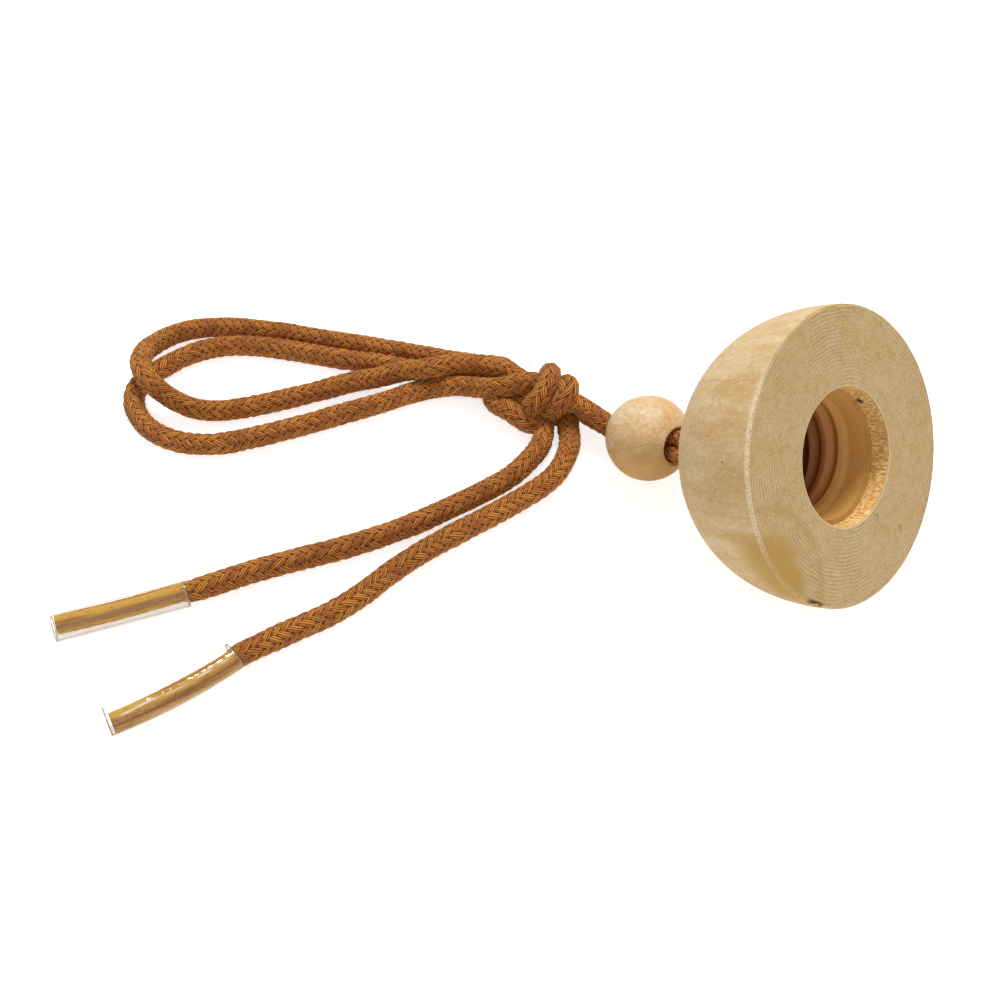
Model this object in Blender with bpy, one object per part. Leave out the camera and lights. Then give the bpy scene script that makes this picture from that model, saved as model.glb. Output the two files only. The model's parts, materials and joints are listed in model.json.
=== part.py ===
"""Turned wooden screw cap on a knotted hanging cord, with a wooden bead and two aglets.

The cap lies on its dome with its threaded socket tilted up towards +X. A doubled braided
cord leaves the top of the dome towards -X, runs through the bead, and is tied in a slip
knot with two nested loops and two tails. Everything rests on the plane z = 0. The origin
is on that plane, under the middle of the box around the cap and the bead.
"""

import math

import bpy
from mathutils import Vector

MM = 0.001
GAP = 0.3 * MM

# Cap, measured along its axis from the flat face (depth 0) to the top of the dome.
CAP_RADIUS = 15.75 * MM
CAP_DEPTH = 17.6 * MM
CAP_TILT = math.radians(32)
DOME_POWER = 2.44
RIM_ROUND = 0.4 * MM
COUNTERBORE_RADIUS = 7.25 * MM
COUNTERBORE_DEPTH = 2.2 * MM
THREAD_MAJOR_RADIUS = 6.65 * MM
THREAD_MINOR_RADIUS = 5.95 * MM
THREAD_PITCH = 25.4 * MM / 12
THREAD_START = 4.6 * MM
THREAD_END = 10.6 * MM
THREAD_FADE_IN = 0.8 * THREAD_PITCH
THREAD_FADE_OUT = 0.5 * THREAD_PITCH
RIDGE_STEEPNESS = 1.6
RIDGE_GROOVE = 0.45
SOCKET_DEPTH = 11.0 * MM
RECESS_RADIUS = 4.4 * MM
RECESS_DEPTH = 14.4 * MM
CORD_HOLE_RADIUS = 2.8 * MM
CAP_SEGMENTS = 48
THREAD_STEPS_PER_PITCH = 8

# Bead.
BEAD_RADIUS = 5.0 * MM
BEAD_HOLE_RADIUS = 2.7 * MM
BEAD_HOLE_ROUND = 0.25 * MM
BEAD_CENTRE = Vector((-13.4, -1.4, 5.2)) * MM
BEAD_AZIMUTH = math.radians(-3)
BEAD_ELEVATION = math.radians(21)
BEAD_SEGMENTS = 36
BEAD_TO_FACE_X = 23.5 * MM

# Cord and aglets.
CORD_DIAMETER = 2.6 * MM
NECK_STRAND_DIAMETER = 2.3 * MM
NECK_OFFSET = 1.3 * MM
NECK_ROLL = math.radians(28)
CRIMPED_DIAMETER = 1.9 * MM
AGLET_LENGTH = 14.4 * MM
AGLET_OUTER_RADIUS = 1.35 * MM
AGLET_INNER_RADIUS = 1.15 * MM
AGLET_END_MARGIN = 0.6 * MM
CRIMP_LENGTH = 1.2 * MM

# Knots, as plain outer shapes.
SLIP_KNOT_CENTRE = Vector((-30.1, -2.3, 3.8)) * MM
SLIP_KNOT_HALF = Vector((5.9, 4.3, 3.7)) * MM
KNOT_POWER = 3.0
STOPPER_RADIUS = 3.8 * MM
STOPPER_HALF_LENGTH = 2.5 * MM

# Routes of the cord's free stretches, in millimetres. Both loops lie on the table. Loop A
# passes over loop B at the far end, and again just before it returns to the knot.
NECK_AT_CAP_DEPTHS = (14.4, 15.9, 17.3)
NECK_BETWEEN = ((-6.3, -0.9, 7.4),)
NECK_ALONG_BEAD = (5.6, 4.0, 0.0, -4.0, -5.6)
NECK_TO_KNOT = ((-21.3, -0.9, 2.95), (-24.0, -1.0, 3.05))

LOOP_A_ROUTE = (
    (-36.6, -0.8, 2.0), (-41.0, -2.7, 1.35), (-45.1, -4.7, 1.3), (-49.2, -6.8, 1.3),
    (-53.7, -9.1, 1.3), (-58.2, -11.6, 1.3), (-62.7, -13.9, 1.3), (-66.0, -15.9, 1.3),
    (-68.6, -17.7, 1.3), (-71.6, -20.7, 1.3), (-72.9, -23.8, 1.5), (-72.5, -26.9, 2.2),
    (-71.1, -29.6, 3.3), (-68.8, -31.8, 4.1), (-66.4, -32.8, 4.2), (-64.2, -32.8, 3.5),
    (-62.1, -32.0, 2.3), (-60.0, -30.8, 1.5), (-57.7, -28.9, 1.3), (-55.5, -26.0, 1.3),
    (-53.7, -23.0, 1.3), (-51.5, -19.0, 1.3), (-49.0, -14.8, 1.6), (-46.8, -12.3, 2.0),
    (-44.8, -10.5, 2.9), (-42.9, -9.2, 3.5), (-41.2, -7.6, 3.9), (-39.7, -5.8, 4.0),
    (-37.0, -3.6, 3.9),
)
LOOP_B_ROUTE = (
    (-37.3, -3.9, 1.3), (-41.2, -5.8, 1.3), (-45.4, -8.2, 1.3), (-49.4, -10.2, 1.3),
    (-53.8, -12.8, 1.3), (-58.1, -15.0, 1.3), (-62.2, -17.3, 1.3), (-65.5, -19.8, 1.3),
    (-67.6, -22.5, 1.3), (-68.7, -25.4, 1.3), (-69.1, -28.4, 1.3), (-69.1, -31.2, 1.3),
    (-68.4, -33.4, 1.3), (-66.9, -35.0, 1.3), (-64.8, -36.1, 1.3), (-62.0, -36.7, 1.3),
    (-58.8, -36.3, 1.3), (-56.0, -35.0, 1.3), (-53.4, -32.7, 1.3), (-51.3, -29.5, 1.3),
    (-49.5, -26.3, 1.3), (-47.7, -22.8, 1.3), (-45.8, -18.8, 1.3), (-44.0, -15.1, 1.3),
    (-42.4, -11.3, 1.3), (-40.7, -8.7, 1.4), (-38.3, -7.3, 2.3),
)
TAIL_A_ROUTE = (
    (-23.8, -3.2, 1.3), (-21.8, -5.4, 1.3), (-20.3, -9.0, 1.3), (-20.0, -12.0, 1.3),
    (-20.5, -15.7, 1.3), (-21.4, -19.9, 1.3), (-22.5, -24.3, 1.3), (-23.5, -28.8, 1.3),
    (-24.1, -33.3, 1.3), (-24.3, -37.8, 1.3), (-25.0, -42.0, 1.3), (-26.5, -46.5, 1.3),
    (-28.2, -52.2, 1.35), (-30.1, -59.5, 1.35), (-31.7, -66.4, 1.35),
)
TAIL_B_ROUTE = (
    (-25.2, -6.2, 1.3), (-24.3, -8.2, 1.3), (-23.9, -10.7, 1.3), (-23.8, -13.9, 1.3),
    (-24.5, -17.6, 1.3), (-25.7, -21.9, 1.3), (-27.0, -26.2, 1.3), (-28.7, -30.5, 1.3),
    (-30.8, -34.8, 1.3), (-33.2, -39.0, 1.3), (-35.6, -43.4, 1.3), (-37.4, -47.3, 1.3),
    (-38.9, -50.5, 1.35), (-42.1, -56.6, 1.35), (-45.7, -62.7, 1.35),
)
CURVE_STEPS = 12
NECK_SAMPLES = 16
LOOP_SAMPLES = 36
TAIL_SAMPLES = 15
FINE_SAMPLES = 400


def clear_scene():
    for obj in list(bpy.data.objects):
        bpy.data.objects.remove(obj)


def material(name, colour, roughness, alpha=1.0):
    made = bpy.data.materials.new(name)
    made.use_nodes = True
    shader = made.node_tree.nodes["Principled BSDF"]
    shader.inputs["Base Color"].default_value = (*colour, 1.0)
    shader.inputs["Roughness"].default_value = roughness
    shader.inputs["Metallic"].default_value = 0.0
    shader.inputs["Alpha"].default_value = alpha
    return made


def link_object(name, data, surface):
    obj = bpy.data.objects.new(name, data)
    obj.data.materials.append(surface)
    bpy.context.scene.collection.objects.link(obj)
    return obj


def shade_round(mesh):
    mesh.shade_smooth()
    mesh.set_sharp_from_angle(angle=math.radians(40))


def closed_lathe(name, profile, segments, surface):
    """A ring-shaped solid. profile is a closed loop of radius(angle), height pairs about local Z."""
    vertices = []
    for radius_at, height in profile:
        for i in range(segments):
            angle = 2 * math.pi * i / segments
            radius = radius_at(angle)
            vertices.append((radius * math.cos(angle), radius * math.sin(angle), height))
    faces = []
    rows = len(profile)
    for row in range(rows):
        here = row * segments
        there = (row + 1) % rows * segments
        for i in range(segments):
            j = (i + 1) % segments
            faces.append((here + i, here + j, there + j, there + i))
    mesh = bpy.data.meshes.new(name)
    mesh.from_pydata(vertices, [], faces)
    shade_round(mesh)
    return link_object(name, mesh, surface)


def fixed(radius):
    return lambda angle: radius


def pebble(name, half_sizes, surface, segments=24, rows=14):
    """A closed, slightly squared ellipsoid about the object's origin, with its poles on Z."""
    vertices = [(0, 0, -half_sizes[2])]
    for row in range(1, rows):
        latitude = math.pi * (row / rows - 0.5)
        for i in range(segments):
            angle = 2 * math.pi * i / segments
            x = math.cos(latitude) * math.cos(angle)
            y = math.cos(latitude) * math.sin(angle)
            z = math.sin(latitude)
            reach = abs(x) ** KNOT_POWER + abs(y) ** KNOT_POWER + abs(z) ** KNOT_POWER
            grow = reach ** (-1 / KNOT_POWER)
            vertices.append((half_sizes[0] * x * grow, half_sizes[1] * y * grow, half_sizes[2] * z * grow))
    vertices.append((0, 0, half_sizes[2]))
    top = len(vertices) - 1
    last = 1 + (rows - 2) * segments
    faces = []
    for i in range(segments):
        j = (i + 1) % segments
        faces.append((0, 1 + j, 1 + i))
        faces.append((top, last + i, last + j))
        for row in range(rows - 2):
            here = 1 + row * segments
            there = here + segments
            faces.append((here + i, here + j, there + j, there + i))
    mesh = bpy.data.meshes.new(name)
    mesh.from_pydata(vertices, [], faces)
    shade_round(mesh)
    return link_object(name, mesh, surface)


def dome_radius(depth):
    """The dome's outer radius at a depth below the flat face."""
    share = min(depth / CAP_DEPTH, 1.0)
    return CAP_RADIUS * math.sqrt(max(0.0, 1 - share ** DOME_POWER))


def resting_height():
    """The height of the face's centre when the tilted dome touches z = 0."""
    steps = 2000
    reach = 0.0
    for i in range(steps):
        depth = CAP_DEPTH * i / steps
        low = depth * math.sin(CAP_TILT) + dome_radius(depth) * math.cos(CAP_TILT)
        reach = max(reach, low)
    return reach


CAP_AXIS = Vector((math.cos(CAP_TILT), 0, math.sin(CAP_TILT)))
FACE_X = (BEAD_TO_FACE_X + BEAD_RADIUS - CAP_RADIUS * math.sin(CAP_TILT)) / 2
FACE_CENTRE = Vector((FACE_X, 0, resting_height()))
BEAD_AXIS = Vector((
    math.cos(BEAD_ELEVATION) * math.cos(BEAD_AZIMUTH),
    math.cos(BEAD_ELEVATION) * math.sin(BEAD_AZIMUTH),
    math.sin(BEAD_ELEVATION),
))


def dome_profile():
    """From the mouth of the cord hole to the rim of the face, with a rounded mouth and rim."""
    rows = 14
    mouth_radius = CORD_HOLE_RADIUS + 2 * RIM_ROUND
    mouth_angle = math.acos(mouth_radius / CAP_RADIUS)
    profile = []
    for row in range(rows):
        angle = mouth_angle * (1 - row / rows)
        depth = CAP_DEPTH * math.sin(angle) ** (2 / DOME_POWER)
        profile.append((fixed(CAP_RADIUS * math.cos(angle)), -depth))
    for turn in (0, 30, 60, 90):
        angle = math.radians(turn)
        radius = CAP_RADIUS - RIM_ROUND * (1 - math.cos(angle))
        profile.append((fixed(radius), -RIM_ROUND * (1 - math.sin(angle))))
    return profile


def thread_radius(depth):
    """The wall's radius by angle: a rounded right-hand helical ridge that fades in and out."""
    fade_in = (depth - THREAD_START) / THREAD_FADE_IN
    fade_out = (THREAD_END - depth) / THREAD_FADE_OUT
    strength = max(0.0, min(1.0, fade_in, fade_out))

    def radius_at(angle):
        turn = (depth / THREAD_PITCH + angle / (2 * math.pi)) % 1.0
        ridge = min(1.0, max(0.0, RIDGE_STEEPNESS * math.sin(math.pi * turn) - RIDGE_GROOVE))
        return THREAD_MAJOR_RADIUS - strength * ridge * (THREAD_MAJOR_RADIUS - THREAD_MINOR_RADIUS)

    return radius_at


def socket_profile():
    """From the face inwards: counterbore, thread, floor, knot recess and cord hole."""
    edge = 0.15 * MM
    profile = [
        (fixed(COUNTERBORE_RADIUS + edge), 0.0),
        (fixed(COUNTERBORE_RADIUS), -edge),
        (fixed(COUNTERBORE_RADIUS), -COUNTERBORE_DEPTH),
        (fixed(THREAD_MAJOR_RADIUS), -COUNTERBORE_DEPTH),
    ]
    step = THREAD_PITCH / THREAD_STEPS_PER_PITCH
    rows = round((THREAD_END - THREAD_START) / step)
    for row in range(rows + 1):
        depth = THREAD_START + (THREAD_END - THREAD_START) * row / rows
        profile.append((thread_radius(depth), -depth))
    profile += [
        (fixed(THREAD_MAJOR_RADIUS), -SOCKET_DEPTH),
        (fixed(RECESS_RADIUS), -SOCKET_DEPTH),
        (fixed(RECESS_RADIUS), -RECESS_DEPTH),
        (fixed(CORD_HOLE_RADIUS), -RECESS_DEPTH),
        (fixed(CORD_HOLE_RADIUS), -CAP_DEPTH + 3 * RIM_ROUND),
        (fixed(CORD_HOLE_RADIUS + 0.6 * RIM_ROUND), -CAP_DEPTH + 1.7 * RIM_ROUND),
    ]
    return profile


def make_cap(wood):
    cap = closed_lathe("screw_cap", dome_profile() + socket_profile(), CAP_SEGMENTS, wood)
    cap.location = FACE_CENTRE
    cap.rotation_mode = "QUATERNION"
    cap.rotation_quaternion = CAP_AXIS.to_track_quat("Z", "Y")
    return cap


def make_bead(wood):
    rows = 16
    mouth = math.asin((BEAD_HOLE_RADIUS + BEAD_HOLE_ROUND) / BEAD_RADIUS)
    profile = []
    for row in range(rows + 1):
        polar = mouth + (math.pi - 2 * mouth) * row / rows
        profile.append((fixed(BEAD_RADIUS * math.sin(polar)), -BEAD_RADIUS * math.cos(polar)))
    wall = BEAD_RADIUS * math.cos(mouth) - BEAD_HOLE_ROUND
    profile.append((fixed(BEAD_HOLE_RADIUS), wall))
    profile.append((fixed(BEAD_HOLE_RADIUS), -wall))
    bead = closed_lathe("bead", profile, BEAD_SEGMENTS, wood)
    bead.location = BEAD_CENTRE
    bead.rotation_mode = "QUATERNION"
    bead.rotation_quaternion = BEAD_AXIS.to_track_quat("Z", "Y")
    return bead


def smooth_route(points, samples):
    """Points at even steps along the smooth curve through a route's own points."""
    ends = [points[0] * 2 - points[1], *points, points[-1] * 2 - points[-2]]
    fine = []
    for a, b, c, d in zip(ends, ends[1:], ends[2:], ends[3:]):
        for i in range(CURVE_STEPS):
            t = i / CURVE_STEPS
            fine.append(0.5 * (
                2 * b + (c - a) * t + (2 * a - 5 * b + 4 * c - d) * t * t
                + (3 * b - a - 3 * c + d) * t ** 3
            ))
    fine.append(points[-1].copy())
    lengths = [0.0]
    for a, b in zip(fine, fine[1:]):
        lengths.append(lengths[-1] + (b - a).length)
    route = []
    at = 0
    for i in range(samples):
        target = lengths[-1] * i / (samples - 1)
        while at < len(fine) - 2 and lengths[at + 1] < target:
            at += 1
        share = (target - lengths[at]) / (lengths[at + 1] - lengths[at])
        route.append(fine[at].lerp(fine[at + 1], min(1.0, share)))
    return route, lengths[-1]


def from_mm(points):
    return [Vector(point) * MM for point in points]


def neck_route(side):
    """One strand of the neck: side +1 is the upper strand A, side -1 the lower strand B."""
    middle = [FACE_CENTRE - CAP_AXIS * depth * MM for depth in NECK_AT_CAP_DEPTHS]
    middle += from_mm(NECK_BETWEEN)
    middle += [BEAD_CENTRE + BEAD_AXIS * along * MM for along in NECK_ALONG_BEAD]
    middle += from_mm(NECK_TO_KNOT)
    up = Vector((0, -math.sin(NECK_ROLL), math.cos(NECK_ROLL)))
    route = []
    for i, point in enumerate(middle):
        along = (middle[min(i + 1, len(middle) - 1)] - middle[max(i - 1, 0)]).normalized()
        across = (up - along * up.dot(along)).normalized()
        route.append(point + across * side * NECK_OFFSET)
    return route


def tube(name, route, diameters, surface):
    """A plain round cord along a route, with one diameter per point."""
    curve = bpy.data.curves.new(name, "CURVE")
    curve.dimensions = "3D"
    curve.bevel_depth = CORD_DIAMETER / 2
    curve.bevel_resolution = 2
    curve.use_fill_caps = True
    curve.twist_mode = "MINIMUM"
    spline = curve.splines.new("POLY")
    spline.points.add(len(route) - 1)
    for point, place, diameter in zip(spline.points, route, diameters):
        point.co = (*place, 1.0)
        point.radius = diameter / CORD_DIAMETER
    return link_object(name, curve, surface)


def make_neck(name, side, cord):
    route, _ = smooth_route(neck_route(side), NECK_SAMPLES)
    return tube(name, route, [NECK_STRAND_DIAMETER] * NECK_SAMPLES, cord)


def make_loop(name, points, cord):
    route, _ = smooth_route(from_mm(points), LOOP_SAMPLES)
    return tube(name, route, [CORD_DIAMETER] * LOOP_SAMPLES, cord)


def make_tail(name, points, cord):
    """A tail whose last stretch is crimped thin inside its aglet."""
    route, length = smooth_route(from_mm(points), TAIL_SAMPLES)
    crimp_end = length - AGLET_LENGTH - GAP
    crimp_start = crimp_end - CRIMP_LENGTH
    keep = [p for i, p in enumerate(route) if length * i / (TAIL_SAMPLES - 1) < crimp_start]
    fine, _ = smooth_route(from_mm(points), FINE_SAMPLES)
    last = [crimp_start, crimp_end, length - AGLET_LENGTH / 2, length - AGLET_END_MARGIN]
    path = keep + [fine[round((FINE_SAMPLES - 1) * at / length)] for at in last]
    thick = [CORD_DIAMETER] * (len(keep) + 1)
    return tube(name, path, thick + [CRIMPED_DIAMETER] * 3, cord)


def make_aglet(name, points, plastic):
    """A thin clear tube round the last stretch of a tail."""
    far = Vector(points[-1]) * MM
    back = (Vector(points[-3]) * MM - far).normalized()
    rings = (
        (fixed(AGLET_OUTER_RADIUS), 0.0),
        (fixed(AGLET_OUTER_RADIUS), AGLET_LENGTH),
        (fixed(AGLET_INNER_RADIUS), AGLET_LENGTH),
        (fixed(AGLET_INNER_RADIUS), 0.0),
    )
    aglet = closed_lathe(name, rings, 20, plastic)
    aglet.location = far
    aglet.rotation_mode = "QUATERNION"
    aglet.rotation_quaternion = back.to_track_quat("Z", "Y")
    return aglet


def make_knots(cord):
    slip_knot = pebble("slip_knot", SLIP_KNOT_HALF, cord)
    slip_knot.location = SLIP_KNOT_CENTRE
    half = (STOPPER_RADIUS, STOPPER_RADIUS, STOPPER_HALF_LENGTH)
    stopper = pebble("stopper_knot", half, cord, 20, 12)
    depth = RECESS_DEPTH - GAP - STOPPER_HALF_LENGTH
    stopper.location = FACE_CENTRE - CAP_AXIS * depth
    stopper.rotation_mode = "QUATERNION"
    stopper.rotation_quaternion = CAP_AXIS.to_track_quat("Z", "Y")


def main():
    clear_scene()
    cap_wood = material("cap_wood", (0.66, 0.50, 0.30), 0.55)
    bead_wood = material("bead_wood", (0.64, 0.46, 0.28), 0.5)
    cord = material("cord", (0.42, 0.17, 0.04), 0.9)
    plastic = material("aglet_plastic", (0.85, 0.75, 0.5), 0.1, 0.35)
    make_cap(cap_wood)
    make_bead(bead_wood)
    make_knots(cord)
    strands = (("a", 1, LOOP_A_ROUTE, TAIL_A_ROUTE), ("b", -1, LOOP_B_ROUTE, TAIL_B_ROUTE))
    for letter, side, loop, tail in strands:
        make_neck("neck_strand_" + letter, side, cord)
        make_loop("loop_" + letter, loop, cord)
        make_tail("tail_" + letter, tail, cord)
        make_aglet("aglet_" + letter, tail, plastic)


main()
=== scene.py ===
"""Looks of the turned wooden screw cap on its knotted hanging cord.

Two braided strands run from the stopper knot inside the cap, through the bead and the slip
knot, round their loops, back through the knot and into their clear aglets. The cap and the
bead are turned wood. Lengths are in millimetres until they reach a mesh or the camera. The
table's and the lights' are in metres.
"""

import json
import math

import bpy
import numpy as np
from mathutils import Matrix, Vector


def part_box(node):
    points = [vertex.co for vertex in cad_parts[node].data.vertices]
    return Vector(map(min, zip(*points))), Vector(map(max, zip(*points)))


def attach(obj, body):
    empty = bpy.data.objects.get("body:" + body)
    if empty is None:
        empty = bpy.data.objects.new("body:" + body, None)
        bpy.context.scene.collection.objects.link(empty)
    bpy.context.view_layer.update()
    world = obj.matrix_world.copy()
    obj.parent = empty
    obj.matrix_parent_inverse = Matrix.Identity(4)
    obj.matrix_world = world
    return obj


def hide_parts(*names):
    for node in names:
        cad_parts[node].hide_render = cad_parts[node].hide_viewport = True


MM = 0.001
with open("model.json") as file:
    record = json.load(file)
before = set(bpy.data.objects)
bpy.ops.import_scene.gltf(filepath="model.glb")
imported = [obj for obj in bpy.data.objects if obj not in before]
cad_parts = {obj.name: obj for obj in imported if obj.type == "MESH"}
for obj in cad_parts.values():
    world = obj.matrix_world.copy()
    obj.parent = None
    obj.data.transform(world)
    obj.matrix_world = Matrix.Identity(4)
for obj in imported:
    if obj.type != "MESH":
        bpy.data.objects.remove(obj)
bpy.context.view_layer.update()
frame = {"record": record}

# -------- places from the frame
JOINTS = {joint["name"]: joint for joint in frame["record"]["behaviour"]["joints"]}
CAP_AXIS = np.array(JOINTS["cap_swivel"]["axis"])
FACE_CENTRE = np.array(JOINTS["cap_swivel"]["pos_m"]) / MM
BEAD_AXIS = np.array(JOINTS["bead_slide"]["axis"])
BEAD_CENTRE = np.array((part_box("bead")[0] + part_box("bead")[1]) / 2) / MM


def turned_frame(axis):
    """Columns X, Y, Z of a frame whose Z is the axis and whose Y points up."""
    across = np.cross((0.0, 0.0, 1.0), axis)
    across /= np.linalg.norm(across)
    return np.column_stack([across, np.cross(axis, across), axis])


CAP_TURN = turned_frame(CAP_AXIS)
BEAD_TURN = turned_frame(BEAD_AXIS)

# -------- room
CAMERA_PLACE = (49.03, -98.35, 119.29)
CAMERA_DEGREES = (42.42, 0.0, 41.38)
CAMERA_LENS = 49.9

# In metres: the table, and each light's name, place, diameter and power.
TABLE_HALF = 6.0
TABLE_TOP = -0.00005
LIGHTS_AIM = (-0.01, -0.02, 0.01)
LIGHTS = (
    ("key", (-0.22, 0.26, 0.70), 0.30, 4.8),
    ("fill", (0.45, -0.40, 0.42), 0.5, 0.9),
)

# The room is white to the camera, but lights the pieces less, so that they keep their shadows.
WORLD_LIGHTS, WORLD_SEEN = 0.36, 1.05
TABLE_LIGHTS, TABLE_SEEN = 0.22, 0.72

# -------- sizes, in millimetres
# A taper is how gently the cord changes from one diameter to the next.
CORD_DIAMETER = 2.6
NECK_DIAMETER = 2.3
NECK_TAPER = 0.8
BEAD_SQUEEZE = 0.17
SQUEEZE_REACH = 6.0
SQUEEZE_TAPER = 0.3
CRIMP_TAPER = 0.22
END_DIMPLE = 0.35

# Carriers are the braid's strips of yarns, counted each way. Over a BRAID_STEP of cord each
# moves round it by its own width.
CARRIERS = 8
BRAID_STEP = 1.25
CARRIER_LIFT = 0.10
CARRIER_CROWN = 0.09
BRAID_MIDDLE = 0.15
YARNS = 3
RING_SIDES = 56
RING_STEP = 0.165
FUZZ_COUNT = 9000

AGLET_LENGTH = 14.4
AGLET_END_MARGIN = 0.4
AGLET_RADIUS = 1.37
AGLET_WALL = 0.07
AGLET_RINGS = 73
AGLET_SIDES = 60
# The side that the light comes from, for the film's painted highlight line and the cord's
# painted shade band under it.
LIT_SIDE = np.array((-0.488, 0.554, 0.674))
# Each film's sideways bow, its fin's reach and direction, and its painted highlight line's
# place, from -1 opposite the lit side to 1 on it. Then the imported cord's diameter and its
# lean in the film.
AGLET_A = {
    "bow": 0.5, "fin": 0.42, "fin_towards": (-0.72, 0.18, 0.55), "painted_highlight": 0.42,
    "packed": 2.2, "lean": (0.13, -0.03, -0.11),
}
AGLET_B = {
    "bow": 0.0, "fin": 0.22, "fin_towards": (0.64, -0.36, -0.64), "painted_highlight": -0.8,
    "packed": 2.12, "lean": (-0.13, 0.07, 0.13),
}

CAP_RADIUS = 15.75
CAP_DEPTH = 17.6
CAP_SIDES = 320
RIM_ROUND = 0.28
DOME_POWER = 2.44
COUNTERBORE_RADIUS = 7.25
COUNTERBORE_DEPTH = 2.2
COUNTERBORE_ROUND = 0.15
THREAD_MAJOR = 6.65
THREAD_MINOR = 5.95
THREAD_PITCH = 25.4 / 12
THREAD_START = 4.6
THREAD_END = 10.6
SOCKET_DEPTH = 11.0
RECESS_RADIUS = 4.4
RECESS_DEPTH = 14.4
CORD_HOLE_RADIUS = 2.8

BEAD_RADIUS = 5.0
BEAD_HOLE_RADIUS = 2.0
BEAD_LIP = 0.37
BEAD_SIDES = 180

# Shading is smooth across edges that bend less than this.
SHARP_FROM = math.radians(38)

# Marks that stand out on the cap, as x and y on its face, or as angles round it.
PITH = (-20.0, -8.0)
GOLDEN_CORNER = (-18.0, -5.0)
BRIGHT_RIM = (-14.0, 8.0)
CHIP = (-12.0, -10.4)
CHIP_ALONG = (0.695, -0.719)
CHIP_ANGLE, CHIP_WIDTH = math.radians(224), math.radians(4.5)
NICKS = ((0.93, -8.3), (3.75, -11.6))
NICK_RADIUS, NICK_HALF = 0.42, 0.13
SPECK_ANGLE, SPECK_DEPTH = math.radians(22), 1.8
TOOL_STEP = 0.40

# -------- the cord's route
# The stopper knot, as angle in degrees, radius and depth in the cap.
STOPPER_A = (
    (20, 2.3, 10.5), (-40, 2.35, 10.6), (-100, 2.4, 10.7), (-155, 2.2, 11.0),
    (-205, 1.2, 11.8), (-250, 0.9, 13.0),
)
STOPPER_B = (
    (20, 2.3, 10.5), (80, 2.35, 10.9), (140, 2.4, 11.9), (200, 2.4, 12.8),
    (250, 2.2, 13.3), (285, 1.7, 13.8),
)
# The middle line of the two strands from the cap to the slip knot.
NECK_AT_CAP_DEPTHS = (14.4, 15.9, 17.3)
NECK_BETWEEN = ((-6.3, -0.9, 7.4),)
NECK_ALONG_BEAD = (5.6, 4.0, 0.0, -4.0, -5.6)
# Each strand's distance from the neck's middle line, by distance from the bead's centre.
NECK_OFFSETS = ((4.0, 5.6, 7.5), (0.88, 1.0, 1.3))
# How far the pair of strands is turned about the middle line at each of its points.
NECK_ROLLS = np.radians((28, 8, -14, -30, -40, -34, -4, 22, 28, 28, 28))
NECK_TO_KNOT = ((-21.3, -0.9, 2.95), (-24.0, -1.0, 3.05))

# From the middle of the slip knot to its far side, and then round the loop.
CORE_A = (
    (-26.1, -1.7, 3.3), (-29.1, -1.6, 2.5), (-31.6, -1.3, 1.9), (-34.4, -0.9, 1.8),
)
CORE_B = (
    (-26.4, -0.4, 1.7), (-29.1, -1.5, 1.2), (-31.5, -2.8, 1.2), (-34.2, -2.7, 1.4),
)
LOOP_A_ROUTE = (
    (-36.6, -0.8, 2.0), (-41.0, -2.7, 1.35), (-45.1, -4.7, 1.3), (-49.2, -6.8, 1.3),
    (-53.7, -9.1, 1.3), (-58.2, -11.6, 1.3), (-62.7, -13.9, 1.3), (-66.0, -15.9, 1.3),
    (-68.6, -17.7, 1.3), (-71.6, -20.7, 1.3), (-72.9, -23.8, 1.5), (-72.5, -26.9, 2.2),
    (-71.1, -29.6, 3.3), (-68.8, -31.8, 4.1), (-66.4, -32.8, 4.2), (-64.2, -32.8, 3.5),
    (-62.1, -32.0, 2.3), (-60.0, -30.8, 1.5), (-57.7, -28.9, 1.3), (-55.5, -26.0, 1.3),
    (-53.7, -23.0, 1.3), (-51.5, -19.0, 1.3), (-49.0, -14.8, 1.6), (-46.8, -12.3, 2.0),
    (-44.8, -10.5, 2.9), (-42.9, -9.2, 3.5), (-41.2, -7.6, 3.9), (-39.7, -5.8, 4.0),
    (-37.0, -3.6, 3.9),
)
LOOP_B_ROUTE = (
    (-37.3, -3.9, 1.3), (-41.2, -5.8, 1.3), (-45.4, -8.2, 1.3), (-49.4, -10.2, 1.3),
    (-53.8, -12.8, 1.3), (-58.1, -15.0, 1.3), (-62.2, -17.3, 1.3), (-65.5, -19.8, 1.3),
    (-67.6, -22.5, 1.3), (-68.7, -25.4, 1.3), (-69.1, -28.4, 1.3), (-69.1, -31.2, 1.3),
    (-68.4, -33.4, 1.3), (-66.9, -35.0, 1.3), (-64.8, -36.1, 1.3), (-62.0, -36.7, 1.3),
    (-58.8, -36.3, 1.3), (-56.0, -35.0, 1.3), (-53.4, -32.7, 1.3), (-51.3, -29.5, 1.3),
    (-49.5, -26.3, 1.3), (-47.7, -22.8, 1.3), (-45.8, -18.8, 1.3), (-44.0, -15.1, 1.3),
    (-42.4, -11.3, 1.3), (-40.7, -8.7, 1.4), (-38.3, -7.3, 2.3),
)
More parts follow.
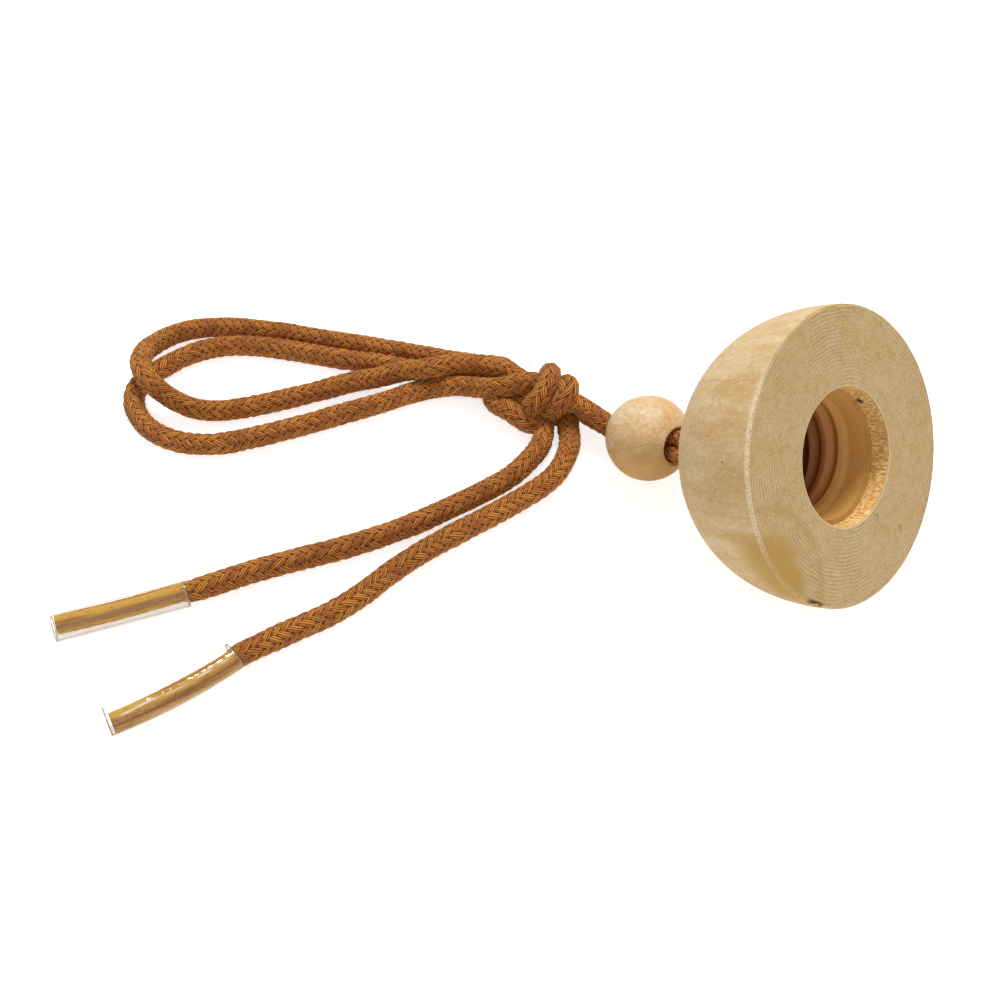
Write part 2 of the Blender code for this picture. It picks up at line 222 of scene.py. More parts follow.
# From the loop's end through the slip knot to the tail. B makes the left wrap, A the right.
RETURN_A = (
    (-35.5, -2.6, 3.6), (-34.4, -2.0, 3.2), (-33.2, -1.7, 2.9), (-32.2, -1.2, 2.0),
    (-31.1, -0.6, 1.4), (-30.0, 0.0, 2.0), (-29.6, -0.1, 3.7), (-28.9, -0.7, 5.5),
    (-28.2, -1.5, 6.2), (-27.4, -2.8, 6.1), (-27.3, -3.9, 5.5), (-27.5, -4.8, 4.5),
    (-28.1, -5.0, 3.4), (-28.7, -4.2, 1.5), (-28.1, -3.3, 1.2), (-26.9, -2.6, 1.2),
    (-26.0, -2.2, 1.2), (-24.8, -2.2, 1.3),
)
RETURN_B = (
    (-35.7, -6.3, 2.9), (-33.8, -5.9, 3.7), (-32.4, -5.0, 4.1), (-31.4, -3.8, 4.4),
    (-30.4, -2.5, 4.4), (-29.4, -1.9, 4.2), (-28.1, -1.1, 4.0), (-27.7, -0.1, 3.5),
    (-27.3, -0.2, 3.8), (-26.6, -0.6, 4.8), (-25.7, -1.2, 5.8), (-25.0, -2.1, 5.7),
    (-25.0, -3.1, 5.0), (-25.7, -3.5, 3.8), (-26.7, -3.6, 2.8), (-28.3, -3.1, 3.1),
    (-30.6, -4.3, 2.1), (-31.6, -4.7, 1.3), (-33.5, -4.6, 1.2), (-34.6, -4.6, 1.4),
    (-34.4, -5.1, 1.7), (-33.0, -6.2, 2.1), (-31.4, -6.5, 2.4), (-30.1, -6.5, 2.5),
    (-29.0, -6.4, 2.2), (-27.7, -5.9, 1.7), (-27.0, -5.0, 1.5), (-26.2, -5.1, 1.3),
)
TAIL_A_ROUTE = (
    (-23.8, -3.2, 1.3), (-21.8, -5.4, 1.3), (-20.3, -9.0, 1.3), (-20.0, -12.0, 1.3),
    (-20.5, -15.7, 1.3), (-21.4, -19.9, 1.3), (-22.5, -24.3, 1.3), (-23.5, -28.8, 1.3),
    (-24.1, -33.3, 1.3), (-24.3, -37.8, 1.3), (-25.0, -42.0, 1.3), (-26.5, -46.5, 1.3),
    (-28.2, -52.2, 1.35), (-30.1, -59.5, 1.35), (-31.7, -66.4, 1.35),
)
TAIL_B_ROUTE = (
    (-25.2, -6.2, 1.3), (-24.3, -8.2, 1.3), (-23.9, -10.7, 1.3), (-23.8, -13.9, 1.3),
    (-24.5, -17.6, 1.3), (-25.7, -21.9, 1.3), (-27.0, -26.2, 1.3), (-28.7, -30.5, 1.3),
    (-30.8, -34.8, 1.3), (-33.2, -39.0, 1.3), (-35.6, -43.4, 1.3), (-37.4, -47.3, 1.3),
    (-38.9, -50.5, 1.35), (-42.1, -56.6, 1.35), (-45.7, -62.7, 1.35),
)

# Each strand, with the nodes that it stands for. side is +1 above the neck's middle line.
STRANDS = {
    "a": {
        "side": 1, "seed": 100, "stopper": STOPPER_A, "aglet": AGLET_A,
        "route": (*CORE_A, *LOOP_A_ROUTE, *RETURN_A, *TAIL_A_ROUTE),
        "stands_for": ("stopper_knot", "neck_strand_a", "loop_a", "tail_a"),
    },
    "b": {
        "side": -1, "seed": 200, "stopper": STOPPER_B, "aglet": AGLET_B,
        "route": (*CORE_B, *LOOP_B_ROUTE, *RETURN_B, *TAIL_B_ROUTE),
        "stands_for": ("slip_knot", "neck_strand_b", "loop_b", "tail_b"),
    },
}


# -------- camera
def put_in_scene(name, data):
    obj = bpy.data.objects.new(name, data)
    bpy.context.scene.collection.objects.link(obj)
    return obj


def make_camera():
    """About 48 degrees above the table, on the side where the socket faces."""
    data = bpy.data.cameras.new("camera")
    data.lens = CAMERA_LENS
    data.clip_start = 0.005
    camera = put_in_scene("camera", data)
    camera.location = Vector(CAMERA_PLACE) * MM
    camera.rotation_euler = [math.radians(degrees) for degrees in CAMERA_DEGREES]
    bpy.context.scene.camera = camera


# -------- numbers
def wave(x, seed, count, lowest, highest):
    """A smooth random function of x, about -1 to 1, as a sum of sines."""
    rng = np.random.default_rng(seed)
    total = np.zeros_like(np.asarray(x, float))
    for rate in np.linspace(lowest, highest, count):
        total += math.sqrt(2 / count) * np.sin(rate * x + rng.uniform(0, 2 * math.pi))
    return total / 1.6


def ring_wave(angle, seed, rates):
    """A smooth random function of an angle that closes on itself."""
    rng = np.random.default_rng(seed)
    total = np.zeros_like(angle)
    for rate in rates:
        total += rng.uniform(0.4, 1.0) * np.sin(rate * angle + rng.uniform(0, 2 * math.pi))
    return total / math.sqrt(len(rates))


def falls_off(x, taper):
    """From 1 below zero to 0 above it."""
    return 1 / (1 + np.exp(x / taper))


def bell(x, width):
    """1 at zero, falling to nothing on both sides."""
    return np.exp(-(x / width) ** 2)


def unit(vector):
    return vector / np.linalg.norm(vector)


def smooth_line(points, step):
    """Even steps along the smooth curve through a route's points, with its arc lengths."""
    points = np.asarray(points, float)
    ends = np.vstack([2 * points[0] - points[1], points, 2 * points[-1] - points[-2]])
    fine = []
    for a, b, c, d in zip(ends, ends[1:], ends[2:], ends[3:]):
        for t in np.arange(0, 1, 1 / 24):
            fine.append(0.5 * (
                2 * b + (c - a) * t + (2 * a - 5 * b + 4 * c - d) * t * t
                + (3 * b - a - 3 * c + d) * t ** 3
            ))
    fine = np.vstack([fine, points[-1]])
    length = np.concatenate([[0], np.cumsum(np.linalg.norm(np.diff(fine, axis=0), axis=1))])
    count = max(2, round(length[-1] / step) + 1)
    at = np.linspace(0, length[-1], count)
    return np.column_stack([np.interp(at, length, fine[:, k]) for k in range(3)]), at


def carried_frames(line):
    """Tangent, normal and binormal at each point, carried along without twist."""
    tangent = np.gradient(line, axis=0)
    tangent /= np.linalg.norm(tangent, axis=1, keepdims=True)
    normal = np.empty_like(line)
    normal[0] = unit(np.cross(tangent[0], (0.0, 0.0, 1.0)))
    for i in range(1, len(line)):
        normal[i] = unit(normal[i - 1] - tangent[i] * np.dot(normal[i - 1], tangent[i]))
    return tangent, normal, np.cross(tangent, normal)


def ring_directions(normal, binormal, angle):
    """The outward direction at each angle round each point of a line."""
    return normal[:, None] * np.cos(angle)[:, None] + binormal[:, None] * np.sin(angle)[:, None]


# -------- meshes
def link(name, mesh, surface):
    mesh.materials.append(surface)
    return put_in_scene(name, mesh)


def grid_faces(rows, sides, closed_rows=False):
    """Quads of a grid that closes on itself round its sides, and along its rows if asked."""
    row = np.arange(rows if closed_rows else rows - 1)[:, None]
    side = np.arange(sides)[None, :]
    beside = (side + 1) % sides
    here, ahead = row * sides, (row + 1) % rows * sides
    corners = [here + side, here + beside, ahead + beside, ahead + side]
    return np.stack(corners, axis=-1).reshape(-1, 4)


def mesh_from(name, vertices, faces, smooth=True):
    mesh = bpy.data.meshes.new(name)
    mesh.from_pydata(np.asarray(vertices).tolist(), [], [list(map(int, face)) for face in faces])
    if smooth:
        mesh.shade_smooth()
    mesh.update()
    return mesh


def set_values(mesh, name, values):
    """Gives each vertex a number that the mesh's material reads by name."""
    mesh.attributes.new(name, "FLOAT", "POINT").data.foreach_set("value", values)


def onto_table(points):
    """Lifts what would be below the table's top up to it."""
    points[..., 2] = np.maximum(points[..., 2], 0.0)


def lathe(name, radius, height, turn, centre, surface):
    """A ring-shaped solid from grids of radius and height (profile row, side), put in place.

    Its attribute grain keeps each point's place on the lathe, in mm, for the wood.
    """
    rows, sides = radius.shape
    angle = np.linspace(0, 2 * math.pi, sides, endpoint=False)
    local = np.stack([radius * np.cos(angle), radius * np.sin(angle), height], axis=-1)
    local = local.reshape(-1, 3)
    mesh = mesh_from(name, (local @ turn.T + centre) * MM, grid_faces(rows, sides, True))
    mesh.set_sharp_from_angle(angle=SHARP_FROM)
    grain = mesh.attributes.new("grain", "FLOAT_VECTOR", "POINT")
    grain.data.foreach_set("vector", local.reshape(-1))
    return link(name, mesh, surface)


# -------- node materials
class Surface:
    """A material's node tree, with short calls for what the materials here share.

    colour is the colour so far, and paint lays another one over it.
    """

    def __init__(self, name):
        self.material = bpy.data.materials.new(name)
        self.material.use_nodes = True
        self.tree = self.material.node_tree
        self.tree.nodes.clear()
        self.output = self.tree.nodes.new("ShaderNodeOutputMaterial")
        self.colour = None

    def put(self, socket, value):
        if isinstance(value, bpy.types.NodeSocket):
            self.tree.links.new(value, socket)
        elif value is not None:
            socket.default_value = value

    def add(self, kind, settings=None, **inputs):
        node = self.tree.nodes.new(kind)
        for key, value in (settings or {}).items():
            setattr(node, key, value)
        for key, value in inputs.items():
            self.put(node.inputs[key.replace("_", " ")], value)
        return node

    def attribute(self, name, output="Fac"):
        return self.add("ShaderNodeAttribute", {"attribute_name": name}).outputs[output]

    def math(self, operation, a, b=None):
        node = self.add("ShaderNodeMath", {"operation": operation})
        for socket, value in zip(node.inputs, (a, b)):
            self.put(socket, value)
        return node.outputs[0]

    def times(self, a, b):
        return self.math("MULTIPLY", a, b)

    def plus(self, a, b):
        return self.math("ADD", a, b)

    def minus(self, a, b):
        return self.math("SUBTRACT", a, b)

    def split(self, vector):
        return self.add("ShaderNodeSeparateXYZ", Vector=vector).outputs

    def join(self, x, y, z):
        return self.add("ShaderNodeCombineXYZ", X=x, Y=y, Z=z).outputs[0]

    def scaled(self, axes, factors):
        """A vector from three values, each times its factor."""
        return self.join(*(self.times(axis, factor) for axis, factor in zip(axes, factors)))

    def noise(self, vector, scale, detail=2.0, roughness=0.5, distortion=0.0):
        node = self.add(
            "ShaderNodeTexNoise", Vector=vector, Scale=scale, Detail=detail,
            Roughness=roughness, Distortion=distortion,
        )
        return node.outputs["Fac"]

    def random(self, vector):
        node = self.add("ShaderNodeTexWhiteNoise", {"noise_dimensions": "3D"}, Vector=vector)
        return node.outputs["Value"]

    def moved(self, value, noise, amount):
        """The value, moved up and down by a noise."""
        return self.plus(value, self.times(self.minus(noise, 0.5), amount))

    def fade(self, value, low, high, to_low=0.0, to_high=1.0):
        node = self.add("ShaderNodeMapRange", {"interpolation_type": "SMOOTHSTEP"}, Value=value)
        ends = {"From Min": low, "From Max": high, "To Min": to_low, "To Max": to_high}
        for key, number in ends.items():
            self.put(node.inputs[key], number)
        return node.outputs[0]

    def band(self, value, centre, half):
        """1 at the centre, 0 from half away."""
        away = self.math("ABSOLUTE", self.minus(value, centre))
        return self.fade(away, 0.0, half, 1.0, 0.0)

    def mix(self, share, a, b):
        node = self.tree.nodes.new("ShaderNodeMix")
        node.data_type = "RGBA"
        for index, value in ((0, share), (6, a), (7, b)):
            self.put(node.inputs[index], (*value, 1.0) if isinstance(value, tuple) else value)
        return node.outputs[2]

    def paint(self, share, tone):
        self.colour = self.mix(share, self.colour, tone)

    def bump(self, height, distance, strength):
        return self.add(
            "ShaderNodeBump", Strength=strength, Distance=distance, Height=height,
        ).outputs[0]

    def finish(self, shader):
        self.tree.links.new(shader.outputs[0], self.output.inputs["Surface"])
        return self.material


def srgb(red, green, blue):
    """A display colour, 0 to 255, as the linear values that nodes take."""
    def linear(value):
        share = value / 255
        return share / 12.92 if share <= 0.04045 else ((share + 0.055) / 1.055) ** 2.4
    return linear(red), linear(green), linear(blue)


def cord_material():
    """Waxed cotton braid. UV map braid holds carriers round the cord and steps along it.

    In its aglet, where the attribute crimp goes to 1, the cord is gold with brown streaks, and
    has a brown band of painted shade on the side turned from the light. Its cut end is
    painted dark in the middle as shade in its dimple, where crimp goes on to 3.
    """
    s = Surface("braided_cotton")
    across, along, _ = s.split(s.add("ShaderNodeUVMap", {"uv_map": "braid"}).outputs[0])
    left, right = s.minus(across, along), s.plus(across, along)
    left_id, right_id = s.math("FLOOR", left), s.math("FLOOR", right)
    left_in, right_in = s.math("FRACT", left), s.math("FRACT", right)

    def carrier_height(other, carrier, inside, phase):
        turn = s.times(s.minus(s.plus(other, carrier), phase), math.pi / 2)
        edge = s.minus(s.times(inside, 2.0), 1.0)
        crown = s.minus(1.0, s.times(edge, edge))
        lift = s.times(s.math("COSINE", turn), CARRIER_LIFT)
        return s.plus(lift, s.times(crown, CARRIER_CROWN))

    left_height = carrier_height(right, left_id, left_in, 1.0)
    right_height = carrier_height(left, right_id, right_in, 3.0)
    on_top = s.math("GREATER_THAN", left_height, right_height)
    height = s.math("MAXIMUM", left_height, right_height)

    def pick(when_left, when_right):
        return s.plus(s.times(on_top, when_left), s.times(s.minus(1.0, on_top), when_right))

    inside = pick(left_in, right_in)
    runs = pick(right, left)
    # The right carriers' numbers start at 40, so that their tones differ from the left ones'.
    right_carrier = s.plus(s.math("FLOORED_MODULO", right_id, CARRIERS), 40.0)
    carrier = pick(s.math("FLOORED_MODULO", left_id, CARRIERS), right_carrier)
    yarn_at = s.times(inside, YARNS)
    yarn = s.math("FLOOR", yarn_at)
    yarn_sine = s.math("ABSOLUTE", s.math("SINE", s.times(yarn_at, math.pi)))
    yarn_crown = s.math("POWER", yarn_sine, 0.75)
    float_id = s.math("FLOOR", s.times(s.plus(runs, pick(left_id, right_id)), 0.25))
    tone = s.random(s.join(carrier, yarn, float_id))
    fibres = s.noise(s.scaled((yarn_at, runs, carrier), (2.2, 1.1, 1.0)), 3.0, 4.0, 0.65)
    wander = s.noise(s.scaled((across, along, 3.0), (0.35, 0.12, 1.0)), 1.0, 3.0)

    s.colour = s.mix(s.fade(tone, 0.1, 0.95), srgb(164, 72, 24), srgb(222, 138, 54))
    # Pale streaks along the fibres: partly the cotton's own tone, partly painted highlight.
    s.paint(s.fade(fibres, 0.42, 0.72, 0.0, 0.8), srgb(250, 194, 96))
    s.paint(s.fade(wander, 0.35, 0.7, 0.0, 0.4), srgb(142, 82, 34))
    # Painted shade: darker between the yarns, darker still where a carrier dips under.
    s.paint(s.fade(yarn_crown, 0.3, 0.9, 0.95, 0.0), srgb(98, 30, 8))
    s.paint(s.fade(height, 0.03, 0.125, 0.95, 0.0), srgb(40, 20, 7))

    crimp = s.attribute("crimp")
    streak = s.noise(s.scaled((across, along, 7.0), (1.3, 0.1, 1.0)), 1.0, 3.0, 0.6)
    dots = s.noise(s.scaled((across, along, 2.0), (3.0, 1.4, 1.0)), 1.0, 2.0, 0.6)
    # Painted shade: a brown band on the side of the packed cord turned from the light.
    lit = s.moved(s.attribute("lit"), streak, 0.9)
    gold = s.mix(s.fade(fibres, 0.3, 0.7), srgb(214, 152, 40), srgb(244, 200, 92))
    gold = s.mix(s.fade(streak, 0.48, 0.62, 0.0, 0.85), gold, srgb(158, 76, 20))
    gold = s.mix(s.times(s.band(lit, -0.22, 0.58), 0.95), gold, srgb(146, 74, 18))
    gold = s.mix(s.fade(dots, 0.60, 0.70, 0.0, 0.7), gold, srgb(96, 50, 14))
    s.paint(s.times(s.math("MINIMUM", crimp, 1.0), 0.94), gold)
    # Painted shade: the middle of the cut end, in its dimple, is darkened.
    s.paint(s.fade(crimp, 1.2, 2.2), srgb(30, 20, 10))

    relief = s.plus(s.times(yarn_crown, 0.6), s.times(fibres, 0.55))
    shader = s.add(
        "ShaderNodeBsdfPrincipled", Base_Color=s.colour,
        Roughness=s.fade(tone, 0.0, 1.0, 0.72, 0.9), Normal=s.bump(relief, 0.085 * MM, 1.0),
        Specular_IOR_Level=0.25, Sheen_Weight=0.25, Sheen_Roughness=0.5,
    )
    shader.inputs["Sheen Tint"].default_value = (*srgb(240, 200, 130), 1.0)
    return s.finish(shader)


def fuzz_material():
    """Loose cotton fibres, paler than the braid, with a slow change from tuft to tuft."""
    s = Surface("cotton_fuzz")
    share = s.noise(s.add("ShaderNodeTexCoord").outputs["Object"], 900.0)
    colour = s.mix(s.fade(share, 0.35, 0.65), srgb(216, 152, 56), srgb(250, 212, 112))
    roughness = s.fade(share, 0.0, 1.0, 0.8, 0.95)
    return s.finish(s.add("ShaderNodeBsdfPrincipled", Base_Color=colour, Roughness=roughness))


class Wood(Surface):
    """Pale wood, fibres along the lathe's axis, growth rings about a pith off to one side.

    Its place is the point on the lathe in mm, from the attribute grain. lines are (ring
    radius, half width, strength) of late wood, darker than the rest.
    """

    def __init__(self, name, light, dark, pith, lines):
        super().__init__(name)
        self.place = tuple(self.split(self.attribute("grain", "Vector")))

        def noise(factors, *settings):
            return self.noise(self.scaled(self.place, factors), *settings)

        ring = self.moved(self.distance(pith), noise((1.0, 1.0, 0.5), 0.11), 3.0)
        along = self.times(self.place[2], 0.03)
        growth = self.noise(self.join(ring, 0.0, along), 0.8, 3.0, 0.6)
        blotch = noise((1.0, 1.0, 0.4), 0.22, 4.0, 0.6, 0.3)
        grain = noise((3.2, 3.2, 0.35), 1.0, 4.0, 0.6)
        fleck = noise((9.0, 9.0, 2.0), 1.0, 3.0, 0.7)
        speck = noise((2.1, 2.1, 1.4), 1.0, 0.0)
        mottle = noise((2.6, 2.6, 1.6), 1.0, 4.0, 0.7)

        self.colour = self.mix(self.fade(blotch, 0.36, 0.66), light, dark)
        self.paint(self.fade(growth, 0.42, 0.72, 0.0, 0.38), dark)
        self.paint(self.fade(grain, 0.3, 0.7, 0.0, 0.22), srgb(182, 140, 92))
        self.paint(self.fade(fleck, 0.3, 0.72, 0.12, 0.0), srgb(140, 96, 50))
        for radius, half, strength in lines:
            self.paint(self.times(self.band(ring, radius, half), strength), srgb(192, 148, 66))
        self.paint(self.fade(speck, 0.80, 0.84, 0.0, 0.6), srgb(130, 88, 44))
        self.paint(self.fade(mottle, 0.34, 0.5, 0.28, 0.0), srgb(196, 152, 92))
        self.paint(self.fade(mottle, 0.5, 0.68, 0.0, 0.3), srgb(246, 228, 200))
        self.blotch, self.grain, self.mottle = blotch, grain, mottle
        self.relief = self.plus(self.times(grain, 0.5), self.times(fleck, 0.6))

    def distance(self, centre):
        """How far the place is from a line along the lathe's axis through centre."""
        off_x, off_y = self.minus(self.place[0], centre[0]), self.minus(self.place[1], centre[1])
        return self.math("SQRT", self.plus(self.times(off_x, off_x), self.times(off_y, off_y)))

    def face_noise(self, rate, layer, detail, roughness=0.5):
        """Noise across the lathe's axis. Each layer has its own pattern."""
        x, y, _ = self.place
        return self.noise(self.scaled((x, y, layer), (rate, rate, 1.0)), 1.0, detail, roughness)

    def finish_wood(self):
        shader = self.add(
            "ShaderNodeBsdfPrincipled", Base_Color=self.colour,
            Roughness=self.fade(self.grain, 0.0, 1.0, 0.5, 0.66),
            Normal=self.bump(self.relief, 0.02 * MM, 0.8), Specular_IOR_Level=0.35,
        )
        return self.finish(shader)


def bead_material():
    """The bead's wood, with painted shade on its lower side, golden patches and one fine line."""
    s = Wood(
        "bead_wood_grain", srgb(244, 220, 184), srgb(228, 192, 140), (-3.0, -9.0),
        ((6.6, 0.09, 0.55), (9.6, 0.08, 0.3)),
    )
    x, y, z = s.place
    whole = s.join(x, y, z)
    towards = s.minus(s.plus(s.times(x, 0.58), s.times(y, 0.78)), s.times(z, 0.24))
    line = s.moved(towards, s.noise(whole, 0.3), 3.0)
    s.paint(s.times(s.band(line, -1.7, 0.09), 0.5), srgb(150, 104, 52))
    # Painted shade: darker and more golden towards the bead's lower side.
    end = s.moved(towards, s.noise(whole, 0.5, 3.0), 4.0)
    s.paint(s.fade(end, 0.0, -3.2, 0.0, 0.85), srgb(188, 146, 76))
    patch = s.noise(s.join(x, s.plus(y, 3.0), s.times(z, 0.7)), 0.45, 3.0, 0.65)
    golden = s.times(s.fade(patch, 0.44, 0.6), s.fade(s.mottle, 0.64, 0.42))
    s.paint(s.times(golden, 0.65), srgb(216, 166, 82))
    return s.finish_wood()


def paint_face(s, radius, on_face, wobble, pores):
    """The face's duller tone, pores and patches, and the grooves that the tool left, with
    painted highlight on their crests and painted shade in their hollows.
    """
    turns = s.plus(s.times(radius, 2 * math.pi / TOOL_STEP), s.times(wobble, 9.0))
    clear = s.fade(s.face_noise(0.16, 9.0, 2.0), 0.38, 0.62, 0.15, 1.0)
    groove = s.times(s.times(s.math("SINE", turns), on_face), clear)
    patchy = s.face_noise(0.9, 2.0, 4.0, 0.7)
    s.paint(s.times(on_face, 0.5), srgb(194, 160, 98))
    s.paint(s.times(on_face, s.fade(pores, 0.34, 0.48, 0.42, 0.0)), srgb(158, 124, 70))
    s.paint(s.times(on_face, s.fade(pores, 0.52, 0.68, 0.0, 0.45)), srgb(236, 216, 180))
    s.paint(s.times(on_face, s.fade(patchy, 0.5, 0.66, 0.0, 0.4)), srgb(218, 184, 148))
    s.paint(s.times(on_face, s.fade(patchy, 0.34, 0.5, 0.38, 0.0)), srgb(182, 142, 74))
    # Painted highlight on the grooves' crests and painted shade in their hollows.
    s.paint(s.fade(groove, 0.1, 1.0, 0.0, 0.20), srgb(232, 212, 176))
    s.paint(s.fade(groove, -1.0, -0.1, 0.3, 0.0), srgb(150, 108, 58))
    s.relief = s.plus(s.relief, s.times(groove, 0.5))


def paint_socket(s, radius):
    """The counterbore's torn wall and its dark speck, and painted shade: a dark line in the
    corner of its step, and the socket darker with depth.
    """
    x, y, z = s.place
    step, bore = -COUNTERBORE_DEPTH, COUNTERBORE_RADIUS
    recess_end = s.fade(z, 0.1 - RECESS_DEPTH, 0.4 - RECESS_DEPTH)
    inside = s.times(s.fade(radius, bore + 0.1, bore + 0.25, 1.0, 0.0), recess_end)
    below_face = s.times(inside, s.fade(z, -0.25, -0.1, 1.0, 0.0))
    s.paint(s.times(below_face, 0.88), srgb(228, 174, 94))
    wall = s.times(below_face, s.fade(z, step - 0.05, step + 0.1))
    turn = s.math("ARCTAN2", y, x)
    torn = s.noise(s.scaled((turn, z, 0.0), (26.0, 1.5, 1.0)), 1.0, 3.0, 0.6)
    s.paint(s.times(wall, s.fade(torn, 0.46, 0.62)), srgb(250, 230, 166))
    s.paint(s.times(wall, s.fade(torn, 0.3, 0.46, 0.75, 0.0)), srgb(194, 136, 58))
    beside_speck = s.math("ABSOLUTE", s.minus(turn, SPECK_ANGLE))
    below_speck = s.math("ABSOLUTE", s.times(s.plus(z, SPECK_DEPTH), 0.15))
    speck = s.fade(s.plus(beside_speck, below_speck), 0.12, 0.03)
    s.paint(s.times(speck, wall), srgb(92, 56, 26))
    # Painted shade: a dark line in the corner of the counterbore's step.
    s.paint(s.times(s.times(inside, s.band(z, step - 0.04, 0.12)), 0.6), srgb(140, 84, 38))
    # Painted shade: the socket darker with depth.
    s.paint(s.times(inside, s.fade(z, -8.5, -4.2, 0.9, 0.0)), srgb(172, 108, 62))
    s.paint(s.times(inside, s.fade(z, -12.5, -7.5, 0.85, 0.0)), srgb(92, 54, 34))


def paint_marks(s, radius, on_face, wobble, pores):
    """Pale lines on the edges, the golden corner, the chip on the rim and the two nicks.

    On the rim's left side the pale line is partly wear and partly painted highlight. Each nick
    has a crescent of painted shade on one side.
    """
    x, y, z = s.place
    edge = s.times(s.band(radius, COUNTERBORE_RADIUS + 0.11, 0.1), s.fade(z, -0.3, -0.08))
    s.paint(s.times(edge, s.fade(s.blotch, 0.35, 0.6, 0.25, 0.75)), srgb(240, 222, 188))

    corner = s.moved(s.distance(GOLDEN_CORNER), wobble, 2.0)
    near_face = s.times(s.fade(z, -5.0, -1.0), 0.9)
    s.paint(s.times(s.fade(corner, 7.4, 5.0), near_face), srgb(188, 146, 62))
    s.paint(s.times(s.band(corner, 9.0, 0.7), s.times(on_face, 0.45)), srgb(184, 146, 76))

    # The pale line on the rim's left side: partly wear, partly painted highlight.
    rim_side = s.times(s.fade(z, -0.45, -0.2), s.fade(x, 6.0, -4.0))
    rim = s.times(s.fade(radius, CAP_RADIUS - 0.45, CAP_RADIUS - 0.25), rim_side)
    rim = s.times(rim, s.fade(s.distance(BRIGHT_RIM), 12.0, 5.0, 0.2, 0.85))
    s.paint(s.times(rim, s.fade(pores, 0.38, 0.54, 0.2, 1.0)), srgb(244, 222, 182))

    off_x, off_y = s.minus(x, CHIP[0]), s.minus(y, CHIP[1])
    along = s.plus(s.times(off_x, CHIP_ALONG[0]), s.times(off_y, CHIP_ALONG[1]))
    at_rim = s.fade(radius, CAP_RADIUS - 0.6, CAP_RADIUS - 0.35)
    chip = s.times(s.band(along, 0.0, 1.9), s.times(at_rim, s.fade(z, -0.55, -0.2)))
    chip = s.times(chip, s.fade(s.plus(x, y), -19.0, -17.0, 1.0, 0.0))
    s.paint(s.math("MINIMUM", s.times(chip, 1.6), 1.0), srgb(92, 56, 24))

    for nick in NICKS:
        # Painted shade: each nick is darker in a crescent on one side of its ring.
        shaded_crescent = s.fade(s.minus(x, nick[0]), -0.1, 0.3)
        dent = s.times(s.band(s.distance(nick), NICK_RADIUS, NICK_HALF), shaded_crescent)
        dent = s.times(dent, on_face)
        s.paint(s.times(dent, 0.8), srgb(128, 96, 50))
        s.relief = s.minus(s.relief, s.times(dent, 3.0))


def cap_material():
    s = Wood(
        "cap_wood_grain", srgb(232, 206, 160), srgb(216, 178, 116), PITH,
        (
            (9.4, 1.0, 0.45), (11.8, 0.2, 0.4), (13.4, 0.2, 0.3), (24.7, 0.2, 0.35),
            (30.0, 0.4, 0.25),
        ),
    )
    x, y, z = s.place
    radius = s.distance((0.0, 0.0))
    on_face = s.fade(z, -0.35, -0.05)
    wobble = s.noise(s.join(x, y, 0.0), 0.5, 3.0)
    pores = s.face_noise(4.2, 4.0, 3.0, 0.7)
    paint_face(s, radius, on_face, wobble, pores)
    paint_socket(s, radius)
    paint_marks(s, radius, on_face, wobble, pores)
    return s.finish_wood()


def plastic_material():
    """Thin clear shrunk film: see-through, denser and greyer where it is seen edge on.

    It is also denser at its cut ends and on its fin's tip, where the attribute rim is 1, and
    white along a painted highlight line, where the attribute painted_highlight is 1.
    """
    s = Surface("clear_film")
    facing = s.add("ShaderNodeLayerWeight", Blend=0.5).outputs["Facing"]
    cloud = s.noise(s.add("ShaderNodeTexCoord").outputs["Object"], 700.0, 3.0)
    rim, painted_highlight = s.attribute("rim"), s.attribute("painted_highlight")
    share = s.plus(s.fade(facing, 0.48, 0.9, 0.09, 0.72), s.fade(cloud, 0.55, 0.8, 0.0, 0.05))
    share = s.plus(s.plus(share, s.times(rim, 0.6)), s.times(painted_highlight, 0.75))
    s.colour = s.mix(s.fade(cloud, 0.3, 0.7), srgb(226, 186, 112), srgb(236, 200, 130))
    s.paint(s.math("MAXIMUM", s.fade(facing, 0.6, 0.92), s.fade(rim, 0.2, 0.8)), srgb(112, 92, 72))
    # Painted highlight: white along one line of the film.
    s.paint(s.fade(painted_highlight, 0.15, 0.6), srgb(250, 246, 236))
    film = s.add(
        "ShaderNodeBsdfPrincipled", Base_Color=s.colour,
        Roughness=s.fade(cloud, 0.3, 0.8, 0.06, 0.16), Normal=s.bump(cloud, 0.03 * MM, 0.15),
        Specular_IOR_Level=s.fade(facing, 0.75, 0.93, 1.0, 0.25),
        Coat_Weight=s.fade(facing, 0.75, 0.93, 1.0, 0.1), Coat_Roughness=0.05, Coat_IOR=2.2,
    )
    clear = s.add("ShaderNodeBsdfTransparent")
    mixed = s.tree.nodes.new("ShaderNodeMixShader")
    s.put(mixed.inputs[0], s.math("MINIMUM", share, 0.85))
    s.put(mixed.inputs[1], clear.outputs[0])
    s.put(mixed.inputs[2], film.outputs[0])
    return s.finish(mixed)


def table_material():
    """Plain white table that glows, so that the shadows stay faint."""
    s = Surface("white_table")
    tone = s.noise(s.add("ShaderNodeTexCoord").outputs["Object"], 30.0, 3.0)
    colour = s.mix(s.fade(tone, 0.3, 0.7), (0.86, 0.86, 0.86), (0.9, 0.9, 0.9))
    seen = s.add("ShaderNodeLightPath").outputs["Is Camera Ray"]
    shader = s.add(
        "ShaderNodeBsdfPrincipled", Base_Color=colour, Roughness=0.9,
        Emission_Strength=s.fade(seen, 0.0, 1.0, TABLE_LIGHTS, TABLE_SEEN),
    )
    shader.inputs["Emission Color"].default_value = (1.0, 1.0, 1.0, 1.0)
    return s.finish(shader)


